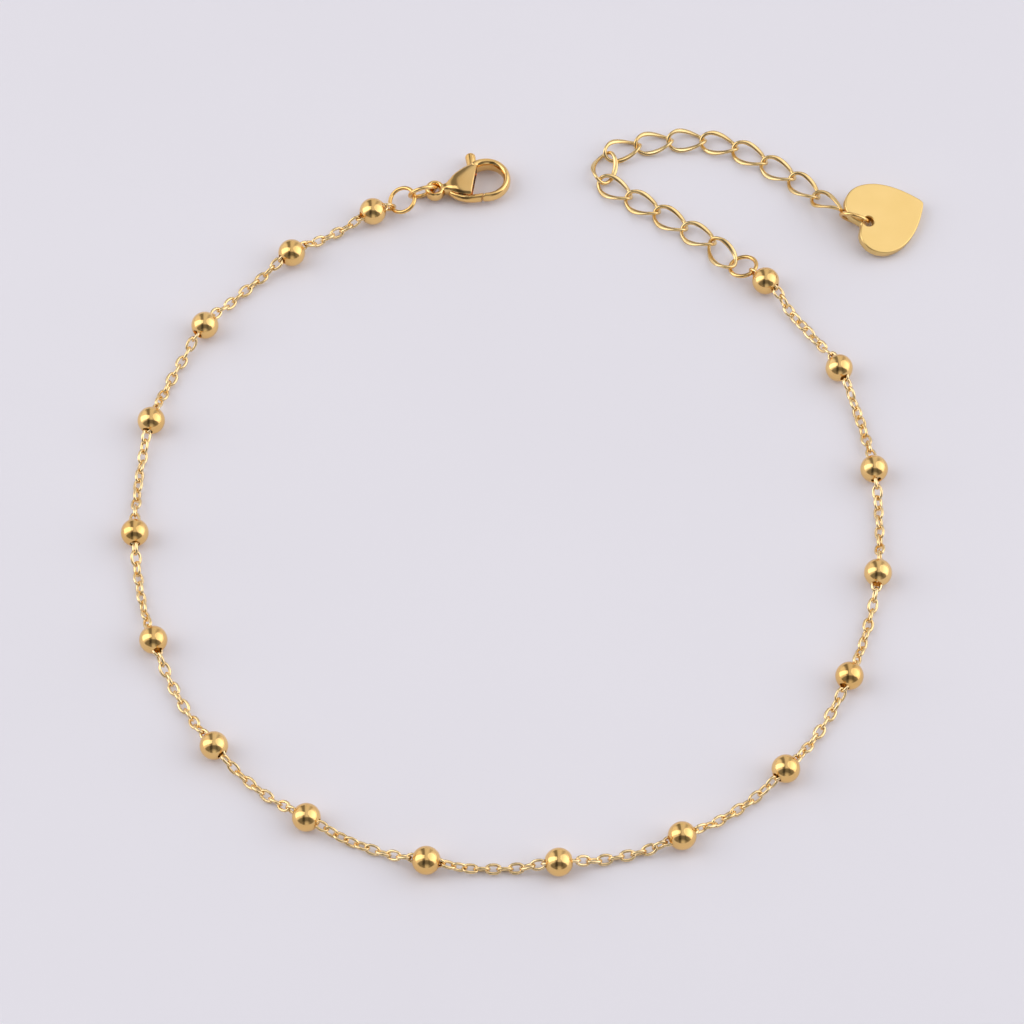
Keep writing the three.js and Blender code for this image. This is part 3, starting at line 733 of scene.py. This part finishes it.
def claspArm():
    parts = []
    for key in ("arm", "stem"):
        path, widths, heights = lever[key], lever[key + "Widths"], lever[key + "Heights"]
        shares = np.linspace(0, len(path) - 1, lever["stops"])
        finer = [[smoothRun(values, share) for share in shares]
                 for values in ([p[0] for p in path], [p[1] for p in path], widths, heights)]
        parts.append(sweptBar(key + "Bar", list(zip(*finer[:2])), *finer[2:], lever["around"]))
    deselectAll()
    end, (segments, rows) = lever["stem"][-1], lever["knobSteps"]
    bpy.ops.mesh.primitive_uv_sphere_add(segments=segments, ring_count=rows, radius=0.5, location=(*end, 0))
    knob = bpy.context.object
    bpy.ops.transform.resize(value=lever["knob"])
    parts.append(placeInMesh(knob))
    piece = castTogether(parts, "clasp_arm")
    outer, outward = hookSeam()
    cutOff(piece, outer, outward, -lever["gap"])
    boredThrough(piece, lever["pin"] + 2 * lever["gap"], lever["pivot"])
    bpy.ops.object.shade_smooth_by_angle(angle=math.radians(clasp["crease"]))
    return placeInMesh(piece, claspMatrix())


# pale board that the anklet lies on; its size is in metres
board = {"size": 2.4, "tones": ("#EEECF2", "#F2F0F6"), "cloudMm": 40.0, "rough": 0.6}


def paintBoard():
    # coated pale board: nearly even, matte
    material = bpy.data.materials.new("matte_pale_board")
    material.use_nodes = True
    tree = material.node_tree
    tree.nodes.clear()
    place = addNode(tree, "ShaderNodeTexCoord").outputs["Object"]
    cloud = addNode(tree, "ShaderNodeTexNoise",
                    {"Scale": 1 / (board["cloudMm"] * mm), "Detail": 2.0}, {"Vector": place})
    tone = addNode(tree, "ShaderNodeValToRGB", links={"Fac": cloud.outputs["Fac"]})
    for stop, colour in zip(tone.color_ramp.elements, board["tones"]):
        stop.color = toLinear(colour)
    shader = addNode(tree, "ShaderNodeBsdfPrincipled", {"Roughness": board["rough"]},
                     {"Base Color": tone.outputs["Color"]})
    addNode(tree, "ShaderNodeOutputMaterial", links={"Surface": shader.outputs["BSDF"]})
    return material


def makeFloor():
    deselectAll()
    bpy.ops.mesh.primitive_plane_add(size=board["size"], location=(0, 0, 0))
    floor = bpy.context.object
    floor.name = "board"
    floor.data.materials.append(paintBoard())


# soft studio light in metres and watts; across and along are the room's levels of light,
# from left to right and from near to far
light = {"right": {"toward": (0.70, 0.10, 0.70), "shape": "DISK", "size": (0.74, 0.74), "power": 0.9},
         "left": {"toward": (-0.82, 0.067, 0.568), "shape": "RECTANGLE", "size": (0.34, 1.10), "power": 1.4},
         "distance": 0.6, "room": "#F4F2F6",
         "across": ((0.0, 1.05), (0.20, 1.05), (0.26, 0.70), (0.30, 0.26), (0.40, 0.26), (0.46, 0.82),
                    (0.60, 0.88), (0.71, 0.55), (0.85, 1.0), (1.0, 1.8)),
         "along": ((0.0, 0.9), (0.06, 0.6), (0.10, 0.24), (0.26, 0.24), (0.34, 1.0), (1.0, 1.0))}


def softbox(name, box):
    data = bpy.data.lights.new(name, "AREA")
    data.shape = box["shape"]
    data.size, data.size_y = box["size"]
    data.energy = box["power"]
    lamp = bpy.data.objects.new(name, data)
    bpy.context.scene.collection.objects.link(lamp)
    toward = Vector(box["toward"]).normalized()
    lamp.location = toward * light["distance"]
    lamp.rotation_euler = toward.to_track_quat("Z", "Y").to_euler()


def makeLights():
    softbox("rightSoftbox", light["right"])
    softbox("leftSoftbox", light["left"])
    # white room with a dark run overhead from the camera's side to the far side, and a dimmer camera side
    world = bpy.data.worlds.new("room")
    world.use_nodes = True
    tree = world.node_tree
    tree.nodes.clear()
    direction = addNode(tree, "ShaderNodeTexCoord").outputs["Generated"]
    split = addNode(tree, "ShaderNodeSeparateXYZ", links={"Vector": direction})
    levels = []
    for axis, stops in (("X", light["across"]), ("Y", light["along"])):
        share = addNode(tree, "ShaderNodeMapRange", {"From Min": -1.0, "From Max": 1.0},
                        {"Value": split.outputs[axis]})
        ramp = addNode(tree, "ShaderNodeValToRGB", links={"Fac": share.outputs["Result"]})
        ramp.color_ramp.interpolation = "EASE"
        while len(ramp.color_ramp.elements) < len(stops):
            ramp.color_ramp.elements.new(0.5)
        for stop, (position, level) in zip(ramp.color_ramp.elements, stops):
            stop.position = position
            stop.color = [level, level, level, 1.0]
        levels.append(ramp.outputs["Color"])
    both = addNode(tree, "ShaderNodeMath", {"operation": "MULTIPLY"})
    for socket, level in zip(both.inputs, levels):
        tree.links.new(level, socket)
    background = addNode(tree, "ShaderNodeBackground", {"Color": toLinear(light["room"])},
                         {"Strength": both.outputs["Value"]})
    addNode(tree, "ShaderNodeOutputWorld", links={"Surface": background.outputs["Background"]})
    bpy.context.scene.world = world


modelBead = drilledBead()
for i, name in enumerate(beadNames):
    turned = Vector((0, 0, 1)).rotation_difference(beadDirection(i)).to_matrix().to_4x4()
    turned.translation = beadCentres[i] * mm
    piece = copyPiece(modelBead, "gold_" + name, turned)
    dressPiece(piece, polishedPlate, "anklet", [name])
removePiece(modelBead)
print("beads made")

dressPiece(chainLinks(), wirePlateWithPaintedLight, "anklet", ["satellite_chain"])
makeRings()
makeCurbLinks()
print("rings and extender made")

heart = heartPiece()
heart.name = "satin_heart"
dressPiece(heart, satinPlate, "anklet", ["heart_tag"])
dressPiece(claspShell(), polishedPlate, "anklet", ["clasp_body"])
dressPiece(claspArm(), polishedPlate, "lever", ["clasp_lever"])
print("heart and clasp made")

makeFloor()
makeLights()
print("scene done")
